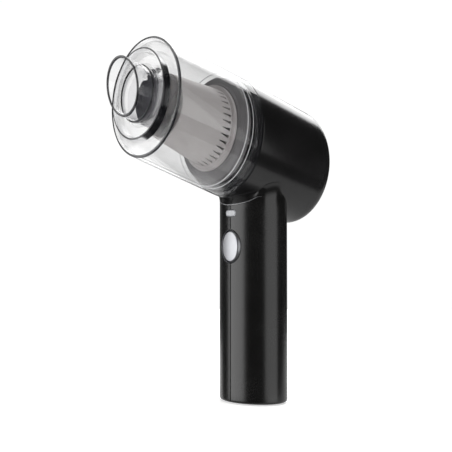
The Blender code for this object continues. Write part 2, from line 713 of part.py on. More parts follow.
def main():
    clear_scene()
    black_gloss = make_material("black gloss plastic", (0.012, 0.012, 0.013), 0.22)
    black_dull = make_material("black satin plastic", (0.020, 0.020, 0.021), 0.45)
    rubber = make_material("black rubber", (0.015, 0.015, 0.015), 0.80)
    smoke = make_material("smoke clear plastic", (0.30, 0.29, 0.30), 0.05, 0.0, 0.35)
    chrome = make_material("bright plated plastic", (0.72, 0.73, 0.75), 0.14, 1.0)
    steel = make_material("plain steel", (0.50, 0.50, 0.51), 0.32, 1.0)
    nickel = make_material("nickel strip", (0.62, 0.60, 0.56), 0.28, 1.0)
    pale = make_material("pale grey plastic", (0.55, 0.54, 0.53), 0.50)
    paper = make_material("filter paper", (0.78, 0.77, 0.73), 0.90)
    foam = make_material("open foam", (0.030, 0.030, 0.032), 0.95)
    board = make_material("board green", (0.010, 0.120, 0.050), 0.40)
    wrap = make_material("cell wrap", (0.020, 0.110, 0.300), 0.35)
    milky = make_material("milky lens", (0.85, 0.86, 0.88), 0.35)
    phosphor = make_material("lamp die", (0.85, 0.75, 0.35), 0.40)

    build_handle_half("handle_left_shell", -1.0, black_gloss)
    build_handle_half("handle_right_shell", 1.0, black_gloss)
    build_base_cap(black_dull)
    build_base_pad(rubber)
    build_cradle(black_dull)
    build_base_screw("base_screw_left", -SCREW_X, steel)
    build_base_screw("base_screw_right", SCREW_X, steel)
    build_cell("battery_cell_left", -0.0093, wrap)
    build_cell("battery_cell_right", 0.0093, wrap)
    build_link_plate(nickel)
    build_control_board(board)
    build_charge_board(board)
    build_usb_socket(steel)
    build_led_emitter(phosphor)
    build_led_lens(milky)
    build_tact_switch(black_dull)
    build_bezel(chrome)
    build_power_button(chrome)

    build_barrel_housing(black_gloss)
    build_exhaust_grille(black_dull)
    build_exhaust_filter(foam)
    build_front_collar(black_gloss)
    build_collar_seal(rubber)
    build_fan_shroud(black_dull)
    build_motor_plate(black_dull)
    build_motor_can(steel)
    build_motor_end(black_dull)
    build_motor_screw("motor_screw_left", -0.0080, steel)
    build_motor_screw("motor_screw_right", 0.0080, steel)
    build_motor_shaft(steel)
    build_impeller(black_dull)

    build_dust_cup(smoke)
    build_inlet_tube(smoke)
    build_inlet_flap(rubber)
    build_flap_pin(steel)

    build_filter_frame(pale)
    build_filter_pleats(paper)
    build_filter_end(pale)
    build_prefilter_cone(pale)


main()
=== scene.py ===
import math

import bmesh
import bpy
from mathutils import Matrix, Vector


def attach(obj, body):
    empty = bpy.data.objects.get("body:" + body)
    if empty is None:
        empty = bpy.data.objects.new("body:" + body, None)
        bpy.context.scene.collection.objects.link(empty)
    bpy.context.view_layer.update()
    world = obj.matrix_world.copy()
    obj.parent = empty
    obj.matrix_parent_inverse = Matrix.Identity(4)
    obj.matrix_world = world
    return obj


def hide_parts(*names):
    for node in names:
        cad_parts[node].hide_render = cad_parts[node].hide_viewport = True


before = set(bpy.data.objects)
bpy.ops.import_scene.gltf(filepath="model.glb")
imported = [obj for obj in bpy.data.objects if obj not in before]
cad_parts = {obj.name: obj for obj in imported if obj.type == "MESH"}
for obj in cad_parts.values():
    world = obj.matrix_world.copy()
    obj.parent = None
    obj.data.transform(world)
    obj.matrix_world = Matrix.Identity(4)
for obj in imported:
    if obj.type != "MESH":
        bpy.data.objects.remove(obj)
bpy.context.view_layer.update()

# The barrel has its own axes: across (X), up (square to the barrel) and along (towards the mouth).
barrel = {
    "crossHeight": 0.1374,             # where the barrel axis meets the handle axis
    "tilt": math.radians(16.5),        # rise of the barrel towards the front
    "lean": math.tan(math.radians(12.5)),       # forward lean of joints and faces
    "mouthLean": math.tan(math.radians(23.7)),  # lean of the inlet mouth
    "radius": 0.0312,
}
alongAxis = Vector((0.0, -math.cos(barrel["tilt"]), math.sin(barrel["tilt"])))
acrossAxis = Vector((1.0, 0.0, 0.0))
upAxis = Vector((0.0, math.sin(barrel["tilt"]), math.cos(barrel["tilt"])))
crossPoint = Vector((0.0, 0.0, barrel["crossHeight"]))


def barrelPoint(across, up, along, lean=0.0):
    return crossPoint + acrossAxis * across + upAxis * up + alongAxis * (along + lean * up)


def barrelMatrix(lean=0.0):            # local (across, up, along) to the part's own frame
    rows = [[acrossAxis[i], upAxis[i] + lean * alongAxis[i], alongAxis[i], crossPoint[i]] for i in range(3)]
    return Matrix(rows + [[0.0, 0.0, 0.0, 1.0]])


class Wire:                            # a shader socket that can be added, multiplied and so on
    def __init__(self, paint, socket):
        self.paint = paint
        self.socket = socket

    def sum(self, operation, first, second=None):
        values = {0: first} if second is None else {0: first, 1: second}
        return self.paint.node("ShaderNodeMath", {"operation": operation}, values)

    def __add__(self, other):
        return self.sum("ADD", self, other)

    __radd__ = __add__

    def __sub__(self, other):
        return self.sum("SUBTRACT", self, other)

    def __rsub__(self, other):
        return self.sum("SUBTRACT", other, self)

    def __mul__(self, other):
        return self.sum("MULTIPLY", self, other)

    __rmul__ = __mul__

    def __truediv__(self, other):
        return self.sum("DIVIDE", self, other)

    def __pow__(self, other):
        return self.sum("POWER", self, other)

    def clipped(self):
        return self.paint.node("ShaderNodeClamp", {}, {"Value": self})

    def above(self, low, high):        # 0 below low, 1 above high, smooth between
        settings = {"interpolation_type": "SMOOTHSTEP"}
        sockets = {"Value": self, "From Min": low, "From Max": high}
        return self.paint.node("ShaderNodeMapRange", settings, sockets)


class Paint:                           # one material and its node tree
    def __init__(self, name):
        self.material = bpy.data.materials.new(name)
        self.material.use_nodes = True
        self.tree = self.material.node_tree
        self.tree.nodes.clear()

    def node(self, kind, settings=None, sockets=None, out=0):
        made = self.tree.nodes.new(kind)
        for key, value in (settings or {}).items():
            if key == "stops":
                ramp = made.color_ramp
                while len(ramp.elements) < len(value):
                    ramp.elements.new(0.5)
                for element, (place, colour) in zip(ramp.elements, value):
                    element.position = place
                    element.color = (*colour, 1.0)
            else:
                setattr(made, key, value)
        for key, value in (sockets or {}).items():
            if isinstance(value, Wire):
                self.tree.links.new(value.socket, made.inputs[key])
            else:
                made.inputs[key].default_value = value
        return Wire(self, made.outputs[out]) if len(made.outputs) else None

    def place(self, turn=(0.0, 0.0, 0.0), shift=(0.0, 0.0, 0.0), scale=(1.0, 1.0, 1.0)):
        coords = self.node("ShaderNodeTexCoord", out="Object")
        sockets = {"Vector": coords, "Location": shift, "Rotation": turn, "Scale": scale}
        return self.node("ShaderNodeMapping", {"vector_type": "TEXTURE"}, sockets)

    def noise(self, place, scale, detail=2.0, rough=0.5):
        sockets = {"Vector": place, "Scale": scale, "Detail": detail, "Roughness": rough}
        return self.node("ShaderNodeTexNoise", {}, sockets)

    def blend(self, amount, first, second):
        sockets = {0: amount, 6: (*first, 1.0) if isinstance(first, tuple) else first,
                   7: (*second, 1.0) if isinstance(second, tuple) else second}
        return self.node("ShaderNodeMix", {"data_type": "RGBA"}, sockets, out=2)

    def bump(self, height, strength, distance):
        sockets = {"Height": height, "Strength": strength, "Distance": distance}
        return self.node("ShaderNodeBump", {}, sockets)

    def surface(self, shader):
        self.node("ShaderNodeOutputMaterial", {}, {"Surface": shader})
        return self.material

    def principled(self, sockets):
        return self.node("ShaderNodeBsdfPrincipled", {}, sockets)


paints = {}


def shellPaint(name, colour, roughness, grainScale, grainDepth, worn=1.0):
    paint = Paint(name)                # moulded black plastic: soft clouds, fine grain, faint upright scuffs
    place = paint.place()
    cloud = paint.noise(place, scale=28.0, detail=3.0)
    grain = paint.noise(place, scale=grainScale, detail=2.0, rough=0.6)
    streak = paint.noise(paint.place(scale=(0.0008, 0.0008, 0.02)), scale=1.0, detail=3.0, rough=0.65)
    scuff = streak.above(0.62, 0.78) * cloud.above(0.45, 0.70) * worn
    lighter = tuple(c * 1.9 + 0.004 for c in colour)
    shade = paint.blend(cloud.above(0.35, 0.75) * 0.5 + scuff * 0.35, colour, lighter)
    rough = roughness + (cloud - 0.5) * 0.10 + (grain - 0.5) * 0.06 + scuff * 0.16
    normal = paint.bump(grain, strength=0.25, distance=grainDepth)
    sockets = {"Base Color": shade, "Roughness": rough.clipped(), "Normal": normal, "IOR": 1.45}
    return paint.surface(paint.principled(sockets))


def clearPaint(name, tint, film, filmShare, filmPower, mirror=0.022, gloss=0.04):
    paint = Paint(name)                # thin clear moulding: see-through, glossy, denser at grazing view
    facing = paint.node("ShaderNodeLayerWeight", {}, {"Blend": 0.5}, out="Facing")
    haze = paint.noise(paint.place(), scale=260.0, detail=3.0, rough=0.6)
    through = paint.node("ShaderNodeBsdfTransparent", {}, {"Color": (*tint, 1.0)})
    shade = paint.blend(haze, tuple(c * 0.85 for c in film), film)
    body = paint.principled({"Base Color": shade, "Roughness": (0.16 + haze * 0.08).clipped(), "IOR": 1.3})
    shine = paint.node("ShaderNodeBsdfGlossy", {}, {"Color": (1.0, 1.0, 1.0, 1.0), "Roughness": gloss})
    low, high = filmShare
    dense = (low + (facing ** filmPower) * (high - low) + (haze - 0.5) * 0.02).clipped()
    mixed = paint.node("ShaderNodeMixShader", {}, {0: dense, 1: through, 2: body})
    reflect = (mirror + (facing ** 5.0) * (1.0 - mirror) * 0.8).clipped()
    return paint.surface(paint.node("ShaderNodeMixShader", {}, {0: reflect, 1: mixed, 2: shine}))


def paintedWallShade(name, colour, share, low, high):
    paint = Paint(name)                # painted shade on thick clear walls: dark where the near side faces the eye, clear from behind
    haze = paint.noise(paint.place(), scale=300.0, detail=3.0, rough=0.6)
    bend = paint.node("ShaderNodeFresnel", {}, {"IOR": 1.5})
    inside = paint.node("ShaderNodeFresnel", {}, {"IOR": 10.0})   # near 1 only when seen from behind
    near = (1.0 - bend.above(low, high)) * (1.0 - inside.above(0.75, 0.95))
    through = paint.node("ShaderNodeBsdfTransparent", {}, {"Color": (0.93, 0.93, 0.94, 1.0)})
    rough = (0.12 + haze * 0.08).clipped()
    body = paint.principled({"Base Color": (*colour, 1.0), "Roughness": rough, "IOR": 1.45})
    dense = (0.03 + near * share).clipped()
    return paint.surface(paint.node("ShaderNodeMixShader", {}, {0: dense, 1: through, 2: body}))


def brightPaint(name, colour, roughness):
    paint = Paint(name)                # satin metal or plating with a faint brushed direction
    brushed = paint.noise(paint.place(scale=(0.0009, 0.02, 0.00012)), scale=1.0, detail=4.0, rough=0.7)
    cloud = paint.noise(paint.place(), scale=220.0, detail=2.0)
    shade = paint.blend(cloud * 0.5, colour, tuple(c * 0.86 for c in colour))
    rough = roughness + (brushed - 0.5) * 0.14 + (cloud - 0.5) * 0.06
    normal = paint.bump(brushed, strength=0.10, distance=0.00005)
    sockets = {"Base Color": shade, "Metallic": 1.0, "Roughness": rough.clipped(), "Normal": normal}
    return paint.surface(paint.principled(sockets))


def palePaint(name, colour, dust, roughness):
    paint = Paint(name)                # matt moulded plastic with settled dust
    place = paint.place()
    cloud = paint.noise(place, scale=90.0, detail=4.0, rough=0.6)
    grain = paint.noise(place, scale=2600.0, detail=2.0)
    shade = paint.blend(cloud.above(0.40, 0.75) * 0.6, colour, dust)
    rough = roughness + (cloud - 0.5) * 0.20
    normal = paint.bump(grain, strength=0.30, distance=0.00006)
    sockets = {"Base Color": shade, "Roughness": rough.clipped(), "Normal": normal}
    return paint.surface(paint.principled(sockets))


def paperPaint(name):
    paint = Paint(name)
    fibre = paint.noise(paint.place(scale=(0.0006, 0.0006, 0.0022)), scale=1.0, detail=5.0, rough=0.7)
    dust = paint.noise(paint.place(), scale=160.0, detail=3.0)
    shade = paint.blend(dust.above(0.45, 0.70) * 0.5, (0.78, 0.77, 0.73), (0.52, 0.50, 0.46))
    rough = (0.85 + (fibre - 0.5) * 0.2).clipped()
    normal = paint.bump(fibre, strength=0.60, distance=0.00012)
    return paint.surface(paint.principled({"Base Color": shade, "Roughness": rough, "Normal": normal}))


def foamPaint(name):
    paint = Paint(name)
    cells = paint.node("ShaderNodeTexVoronoi", {}, {"Vector": paint.place(), "Scale": 1100.0}, out="Distance")
    shade = paint.blend(cells.above(0.2, 0.7), (0.012, 0.012, 0.013), (0.055, 0.055, 0.058))
    normal = paint.bump(cells, strength=1.0, distance=0.0004)
    return paint.surface(paint.principled({"Base Color": shade, "Roughness": 0.95, "Normal": normal}))


def rubberPaint(name, colour):
    paint = Paint(name)
    place = paint.place()
    cloud = paint.noise(place, scale=70.0, detail=3.0)
    grain = paint.noise(place, scale=3200.0, detail=2.0)
    bloom = cloud.above(0.5, 0.8)
    shade = paint.blend(bloom * 0.6, colour, tuple(c * 1.8 + 0.006 for c in colour))
    rough = (0.62 + bloom * 0.2).clipped()
    normal = paint.bump(grain, strength=0.35, distance=0.00008)
    return paint.surface(paint.principled({"Base Color": shade, "Roughness": rough, "Normal": normal}))


def boardPaint(name):
    paint = Paint(name)                # green board with tracks and solder pads
    tracks = paint.node("ShaderNodeTexBrick", {"offset": 0.37}, {
        "Vector": paint.place(turn=(math.pi / 2, 0.0, 0.0)), "Scale": 380.0, "Mortar Size": 0.03,
        "Color1": (0.008, 0.10, 0.045, 1.0), "Color2": (0.012, 0.15, 0.065, 1.0),
        "Mortar": (0.03, 0.24, 0.10, 1.0)})
    pads = paint.node("ShaderNodeTexVoronoi", {}, {"Vector": paint.place(), "Scale": 520.0}, out="Distance")
    solder = 1.0 - pads.above(0.16, 0.20)
    shade = paint.blend(solder, tracks, (0.62, 0.62, 0.60))
    sockets = {"Base Color": shade, "Roughness": 0.38 - solder * 0.14, "Metallic": solder * 0.9,
               "Normal": paint.bump(solder, strength=0.4, distance=0.0001)}
    return paint.surface(paint.principled(sockets))


def cellPaint(name, sleeveTop=0.0838):
    paint = Paint(name)                # blue film sleeve with bare metal above its top edge
    place = paint.place()
    height = paint.node("ShaderNodeSeparateXYZ", {}, {0: place}, out="Z")
    cloud = paint.noise(place, scale=120.0, detail=3.0)
    crimp = height.above(sleeveTop, sleeveTop + 0.0002)
    sleeve = paint.blend(cloud * 0.6, (0.015, 0.085, 0.26), (0.03, 0.14, 0.38))
    shade = paint.blend(crimp, sleeve, (0.60, 0.60, 0.60))
    rough = 0.32 + (cloud - 0.5) * 0.15
    sockets = {"Base Color": shade, "Roughness": rough.clipped(), "Metallic": crimp,
               "Normal": paint.bump(cloud, strength=0.2, distance=0.0002)}
    return paint.surface(paint.principled(sockets))


def lensPaint(name):
    paint = Paint(name)                # milky window with a faint inner light
    cloud = paint.noise(paint.place(), scale=700.0, detail=3.0)
    shade = paint.blend(cloud, (0.22, 0.225, 0.235), (0.36, 0.365, 0.38))
    sockets = {"Base Color": shade, "Roughness": (0.28 + cloud * 0.12).clipped(), "Coat Weight": 0.6,
               "Emission Color": (0.85, 0.88, 0.95, 1.0), "Emission Strength": 0.04,
               "Normal": paint.bump(cloud, strength=0.1, distance=0.0001)}
    return paint.surface(paint.principled(sockets))


paints["shell"] = shellPaint("blackShell", (0.0040, 0.0039, 0.0038), 0.26,
                             grainScale=2600.0, grainDepth=0.00004)
paints["barrel"] = shellPaint("blackBarrel", (0.0050, 0.0049, 0.0051), 0.20,
                              grainScale=2600.0, grainDepth=0.00002)
paints["inner"] = shellPaint("blackInner", (0.010, 0.010, 0.011), 0.42,
                             grainScale=1800.0, grainDepth=0.00006)
paints["collar"] = shellPaint("blackCollar", (0.006, 0.006, 0.007), 0.16,
                              grainScale=2400.0, grainDepth=0.0, worn=0.0)
paints["clear"] = clearPaint("smokeClear", tint=(0.965, 0.965, 0.965), film=(0.20, 0.20, 0.21),
                             filmShare=(0.015, 0.20), filmPower=2.0)
# painted shade: the smoky plastic made nearly black round the rims, standing for the dark edges that
# refraction gives clear plastic
paints["clearRimPaintedShade"] = clearPaint("smokeRimPaintedShade", tint=(0.40, 0.40, 0.42), film=(0.010, 0.010, 0.012),
                                filmShare=(0.86, 0.98), filmPower=1.0)
paints["tube"] = clearPaint("smokeTube", tint=(0.975, 0.975, 0.975), film=(0.10, 0.10, 0.11),
                            filmShare=(0.01, 0.35), filmPower=3.0)
# painted highlight: a pale film that draws bright arcs where the cup's inner edges catch the light
paints["edge"] = clearPaint("paintedHighlightEdge", tint=(0.9, 0.9, 0.9), film=(0.80, 0.80, 0.82),
                            filmShare=(0.70, 0.80), filmPower=1.0)
# painted shade: a dark film on the tube's root and on the step's side wall, strongest on the side that faces
# the eye
paints["tubeRootPaintedShade"] = paintedWallShade("smokeTubeRootPaintedShade", (0.105, 0.10, 0.112), share=0.74, low=0.30, high=0.60)
paints["step"] = paintedWallShade("smokeStepPaintedShade", (0.005, 0.005, 0.006), share=0.94, low=0.075, high=0.11)
paints["bright"] = brightPaint("brightPlate", (0.36, 0.365, 0.38), 0.42)
paints["bead"] = brightPaint("satinBead", (0.50, 0.50, 0.51), 0.55)
paints["steel"] = brightPaint("plainSteel", (0.50, 0.50, 0.51), 0.32)
paints["nickel"] = brightPaint("nickelStrip", (0.62, 0.60, 0.56), 0.28)
paints["pale"] = palePaint("paleFilterPlastic", (0.35, 0.332, 0.328), (0.30, 0.283, 0.28), 0.50)
paints["frame"] = palePaint("greyFramePlastic", (0.125, 0.121, 0.124), (0.10, 0.097, 0.099), 0.45)
paints["paper"] = paperPaint("filterPaper")
paints["foam"] = foamPaint("exhaustFoam")
paints["rubber"] = rubberPaint("softRubber", (0.014, 0.014, 0.015))
paints["flap"] = rubberPaint("flapRubber", (0.020, 0.020, 0.027))
paints["board"] = boardPaint("circuitBoard")
paints["cell"] = cellPaint("cellSleeve")
paints["lens"] = lensPaint("milkyLens")
print("paints ready:", len(paints))


def softCorners(loop, steps=4):
    count = len(loop)
    points = []
    for i, corner in enumerate(loop):
        here = Vector((corner[0], corner[1]))
        before = Vector(loop[i - 1][:2]) - here
        after = Vector(loop[(i + 1) % count][:2]) - here
        lean = corner[3] if len(corner) > 3 else None
        cut = min(corner[2], 0.45 * before.length, 0.45 * after.length)
        if cut < 1e-6:
            points.append((here.x, here.y, lean))
            continue
        first = here + before.normalized() * cut
        last = here + after.normalized() * cut
        for k in range(steps + 1):
            s = k / steps
            spot = first * (1 - s) ** 2 + here * (2 * s * (1 - s)) + last * s * s
            points.append((spot.x, spot.y, lean))
    return points


def smoothStep(value):
    s = min(1.0, max(0.0, value))
    return s * s * (3 - 2 * s)


sharpAngle = math.radians(32.0)        # edges steeper than this stay sharp


def linked(name, mesh):
    mesh.polygons.foreach_set("use_smooth", [True] * len(mesh.polygons))
    mesh.set_sharp_from_angle(angle=sharpAngle)
    obj = bpy.data.objects.new(name, mesh)
    bpy.context.scene.collection.objects.link(obj)
    return obj


def cleaned(bm, mesh):                 # joins doubled points, turns faces outwards and fills the mesh
    bmesh.ops.remove_doubles(bm, verts=bm.verts, dist=1e-7)
    bmesh.ops.recalc_face_normals(bm, faces=bm.faces)
    bm.to_mesh(mesh)
    bm.free()


def meshObject(name, bm, paintList):
    mesh = bpy.data.meshes.new(name)
    cleaned(bm, mesh)
    for key in paintList:
        mesh.materials.append(paints[key])
    return linked(name, mesh)


def evaluatedMesh(obj):                # the mesh with its modifiers applied
    bpy.context.view_layer.update()
    graph = bpy.context.evaluated_depsgraph_get()
    return bpy.data.meshes.new_from_object(obj.evaluated_get(graph), depsgraph=graph)


def spun(bm, points, turns, lean, closed, paintOf):
    rings = []
    for radius, along, own in points:
        slant = lean if own is None else own
        if radius < 1e-7:
            rings.append([bm.verts.new(barrelPoint(0.0, 0.0, along))])
            continue
        ring = []
        for i in range(turns):
            a = 2 * math.pi * i / turns
            ring.append(bm.verts.new(barrelPoint(radius * math.sin(a), radius * math.cos(a), along, slant)))
        rings.append(ring)
    pairs = [(k, k + 1) for k in range(len(rings) - 1)]
    if closed:
        pairs.append((len(rings) - 1, 0))
    for k, m in pairs:
        first, second = rings[k], rings[m]
        if len(first) == 1 and len(second) == 1:
            continue
        index = paintOf(points[k], points[m]) if paintOf else 0
        for i in range(turns):
            j = (i + 1) % turns
            corners = []
            for vert in (first[i % len(first)], first[j % len(first)],
                         second[j % len(second)], second[i % len(second)]):
                if vert not in corners:
                    corners.append(vert)
            bm.faces.new(corners).material_index = index


def spunObject(name, loop, paintList, turns=160, closed=True, steps=4, paintOf=None):
    bm = bmesh.new()                   # loop points: radius, place along the barrel, rounding, own lean
    spun(bm, softCorners(loop, steps), turns, barrel["lean"], closed, paintOf)
    return meshObject(name, bm, paintList)


def ovalPoints(halfA, halfB, count, middle=(0.0, 0.0)):
    return [(middle[0] + halfA * math.cos(2 * math.pi * i / count),
             middle[1] + halfB * math.sin(2 * math.pi * i / count)) for i in range(count)]


def roundedBox(halfA, halfB, corner, middle=(0.0, 0.0), steps=6):
    points = []
    for quarter in range(4):
        signA = 1.0 if quarter in (0, 3) else -1.0
        signB = 1.0 if quarter in (0, 1) else -1.0
        for k in range(steps + 1):
            a = 0.5 * math.pi * (quarter + k / steps)
            points.append((middle[0] + signA * (halfA - corner) + corner * math.cos(a),
                           middle[1] + signB * (halfB - corner) + corner * math.sin(a)))
    return points


def frontRing(outline, depth):         # an upright outline at one depth
    return [Vector((a, depth, b)) for a, b in outline]


def lofted(name, levels, paintList, capped=True):
    bm = bmesh.new()                   # levels are equal-length rings of points
    rings = [[bm.verts.new(p) for p in level] for level in levels]
    count = len(rings[0])
    for lower, upper in zip(rings[:-1], rings[1:]):
        for i in range(count):
            j = (i + 1) % count
            bm.faces.new((lower[i], lower[j], upper[j], upper[i]))
    if capped:
        bm.faces.new(rings[0])
        bm.faces.new(list(reversed(rings[-1])))
    return meshObject(name, bm, paintList)


def sidePlate(name, depths, outline, paintKey, lean=0.0):       # outline points: along, up
    levels = [[barrelPoint(depth, up, along + lean * up) for along, up in outline] for depth in depths]
    return lofted(name, levels, [paintKey])


def carve(obj, tool, operation="DIFFERENCE"):       # shapes obj with the tool's solid and removes the tool
    step = obj.modifiers.new("carve", "BOOLEAN")
    step.operation = operation
    step.solver = "EXACT"
    step.object = tool
    shaped = evaluatedMesh(obj)
    obj.modifiers.remove(step)
    shaped.set_sharp_from_angle(angle=sharpAngle)
    obj.data = shaped
    bpy.data.objects.remove(tool, do_unlink=True)
    return obj


def rounded(obj, width):               # small bevel on the sharp edges, kept live
    step = obj.modifiers.new("edges", "BEVEL")
    step.width = width
    step.segments = 2
    step.limit_method = "ANGLE"
    step.angle_limit = math.radians(40.0)
    step.harden_normals = True
    return obj


def ride(obj, body, slot, *nodes):
    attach(obj, body)
    if nodes:
        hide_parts(*nodes)
    return obj


def repeatTree(name, paint, layout):   # layout is "ring" (turned in place) or "row" (side by side)
    tree = bpy.data.node_groups.new(name, "GeometryNodeTree")
    face = tree.interface
    face.new_socket("Shape", in_out="INPUT", socket_type="NodeSocketGeometry")
    face.new_socket("Count", in_out="INPUT", socket_type="NodeSocketInt")
    face.new_socket("Reach", in_out="INPUT", socket_type="NodeSocketFloat")
    face.new_socket("Result", in_out="OUTPUT", socket_type="NodeSocketGeometry")
    nodes, links = tree.nodes, tree.links
    start = nodes.new("NodeGroupInput")
    end = nodes.new("NodeGroupOutput")
    copy = nodes.new("GeometryNodeInstanceOnPoints")

    def worked(operation, first, second):           # one Math node; second is a socket or a number
        step = nodes.new("ShaderNodeMath")
        step.operation = operation
        links.new(first, step.inputs[0])
        if isinstance(second, float):
            step.inputs[1].default_value = second
        else:
            links.new(second, step.inputs[1])
        return step.outputs[0]

    if layout == "ring":
        points = nodes.new("GeometryNodeMeshCircle")
        links.new(start.outputs["Count"], points.inputs["Vertices"])
        links.new(start.outputs["Reach"], points.inputs["Radius"])
        index = nodes.new("GeometryNodeInputIndex")
        turn = worked("DIVIDE", index.outputs[0], start.outputs["Count"])
        spin = nodes.new("ShaderNodeCombineXYZ")
        links.new(worked("MULTIPLY", turn, 2 * math.pi), spin.inputs["Z"])
        links.new(spin.outputs[0], copy.inputs["Rotation"])
    else:
        points = nodes.new("GeometryNodeMeshLine")
        points.mode = "END_POINTS"
        far = nodes.new("ShaderNodeCombineXYZ")
        near = nodes.new("ShaderNodeCombineXYZ")
        links.new(start.outputs["Reach"], far.inputs["X"])
        links.new(worked("MULTIPLY", start.outputs["Reach"], -1.0), near.inputs["X"])
        links.new(start.outputs["Count"], points.inputs["Count"])
        links.new(near.outputs[0], points.inputs["Start Location"])
        links.new(far.outputs[0], points.inputs["Offset"])
    links.new(points.outputs["Mesh"], copy.inputs["Points"])
    links.new(start.outputs["Shape"], copy.inputs["Instance"])
    real = nodes.new("GeometryNodeRealizeInstances")
    links.new(copy.outputs["Instances"], real.inputs["Geometry"])
    coat = nodes.new("GeometryNodeSetMaterial")
    coat.inputs["Material"].default_value = paint
    links.new(real.outputs["Geometry"], coat.inputs["Geometry"])
    links.new(coat.outputs["Geometry"], end.inputs["Result"])
    return tree


def repeated(name, shape, paintKey, layout, count, reach, matrix):
    tree = repeatTree(name + "Tree", paints[paintKey], layout)
    step = shape.modifiers.new("repeat", "NODES")
    step.node_group = tree
    wanted = {"Count": count, "Reach": reach}
    for item in tree.interface.items_tree:
        if item.in_out == "INPUT" and item.name in wanted:
            step[item.identifier] = wanted[item.name]
    mesh = evaluatedMesh(shape)
    bpy.data.objects.remove(shape, do_unlink=True)
    mesh.transform(matrix)
    bm = bmesh.new()
    bm.from_mesh(mesh)
    cleaned(bm, mesh)
    mesh.name = name
    return linked(name, mesh)


def barShape(name, halfX, halfY, lowZ, highZ, soft):            # upright bar with softened ends
    corner = min(soft, 0.9 * halfX, 0.9 * halfY)
    outline = roundedBox(halfX, halfY, corner, steps=2)
    small = roundedBox(halfX - 0.5 * corner, halfY - 0.5 * corner, 0.5 * corner + 1e-6, steps=2)
    levels = [(small, lowZ), (outline, lowZ + 0.5 * corner), (outline, highZ - 0.5 * corner), (small, highZ)]
    return lofted(name, [[Vector((a, b, z)) for a, b in ring] for ring, z in levels], ["inner"])


view = {
    "turn": math.radians(50.61), "pitch": math.radians(-1.83), "lens": 75.66, "sensor": 36.0,
    "offset": (0.01486, 0.04203, 0.5229),        # crossing point seen from the camera: right, up, away
}
back = Vector((math.sin(view["turn"]) * math.cos(view["pitch"]),
               -math.cos(view["turn"]) * math.cos(view["pitch"]), math.sin(view["pitch"])))
right = Vector((math.cos(view["turn"]), math.sin(view["turn"]), 0.0))
upward = back.cross(right)
camera = bpy.data.objects.new("camera", bpy.data.cameras.new("camera"))
camera.data.lens = view["lens"]
camera.data.sensor_width = view["sensor"]
camera.data.clip_start = 0.01
camera.data.clip_end = 50.0
rows = [[right[i], upward[i], back[i]] for i in range(3)]
place = crossPoint - right * view["offset"][0] - upward * view["offset"][1] + back * view["offset"][2]
camera.matrix_world = Matrix.Translation(place) @ Matrix(rows).to_4x4()
bpy.context.scene.collection.objects.link(camera)
bpy.context.scene.camera = camera
bpy.context.scene.view_settings.view_transform = "Standard"
bpy.context.scene.cycles.transparent_max_bounces = 40

ground = {"radius": 0.9, "height": -0.0002, "sides": 96, "glow": 0.55}
floorPaint = Paint("paleFloor")
floorCloud = floorPaint.noise(floorPaint.place(), scale=6.0, detail=2.0)
floorShade = floorPaint.blend(floorCloud * 0.3, (0.93, 0.93, 0.93), (0.90, 0.90, 0.90))
floorMaterial = floorPaint.surface(floorPaint.principled({
    "Base Color": floorShade, "Roughness": 0.9,
    "Emission Color": (1.0, 1.0, 1.0, 1.0), "Emission Strength": ground["glow"]}))
floorMesh = bmesh.new()
floorRing = ovalPoints(ground["radius"], ground["radius"], ground["sides"])
floorMesh.faces.new([floorMesh.verts.new((x, y, ground["height"])) for x, y in floorRing])
floorData = bpy.data.meshes.new("floor")
floorMesh.to_mesh(floorData)
floorMesh.free()
floorData.materials.append(floorMaterial)
floor = bpy.data.objects.new("floor", floorData)
bpy.context.scene.collection.objects.link(floor)
floor.visible_glossy = False            # the gloss shows the studio, not the floor

studio = {"seen": 1.02, "glow": 0.03}   # strength of the white world to the camera and to the object
world = bpy.data.worlds.new("studio")
bpy.context.scene.world = world
world.use_nodes = True
worldNodes = world.node_tree.nodes
worldNodes.clear()
worldOut = worldNodes.new("ShaderNodeOutputWorld")
path = worldNodes.new("ShaderNodeLightPath")
mixed = worldNodes.new("ShaderNodeMixShader")
world.node_tree.links.new(path.outputs["Is Camera Ray"], mixed.inputs[0])
for slot, key in ((1, "glow"), (2, "seen")):
    light = worldNodes.new("ShaderNodeBackground")
    light.inputs["Color"].default_value = (1.0, 1.0, 1.0, 1.0)
    light.inputs["Strength"].default_value = studio[key]
    world.node_tree.links.new(light.outputs[0], mixed.inputs[slot])
world.node_tree.links.new(mixed.outputs[0], worldOut.inputs["Surface"])


def softBox(name, azimuth, height, distance, width, tall, power, aim):
    data = bpy.data.lights.new(name, "AREA")
    data.shape = "RECTANGLE"
    data.size = width
    data.size_y = tall
    data.energy = power
    box = bpy.data.objects.new(name, data)
    a = math.radians(azimuth)
    box.location = Vector((distance * math.sin(a), -distance * math.cos(a), height))
    box.rotation_euler = (Vector(aim) - box.location).to_track_quat("-Z", "Y").to_euler()
    bpy.context.scene.collection.objects.link(box)
    return box


softBox("leftBox", azimuth=-31.0, height=0.12, distance=1.1, width=0.98, tall=1.0, power=10.5,
        aim=(0.0, 0.0, 0.12))
softBox("rightBox", azimuth=91.0, height=0.12, distance=1.1, width=1.22, tall=1.0, power=7.2,
        aim=(0.0, 0.0, 0.12))
softBox("sideBox", azimuth=256.0, height=0.12, distance=1.1, width=0.55, tall=0.8, power=0.22,
        aim=(0.0, 0.0, 0.12))
lowCard = softBox("lowCard", azimuth=215.4, height=-0.02, distance=0.36, width=0.70, tall=0.64, power=1.15,
                  aim=(-0.2085, 0.2934, 0.5))
lowCard.visible_diffuse = False         # seen only in the gloss under the barrel
softBox("rearBox", azimuth=214.0, height=0.95, distance=1.1, width=1.0, tall=0.8, power=9.0,
        aim=(0.0, 0.0, 0.11))
softBox("floorWash", azimuth=50.0, height=1.9, distance=0.3, width=1.6, tall=1.6, power=30.0,
        aim=(0.0, 0.0, 0.0))
print("camera, floor and lights ready")


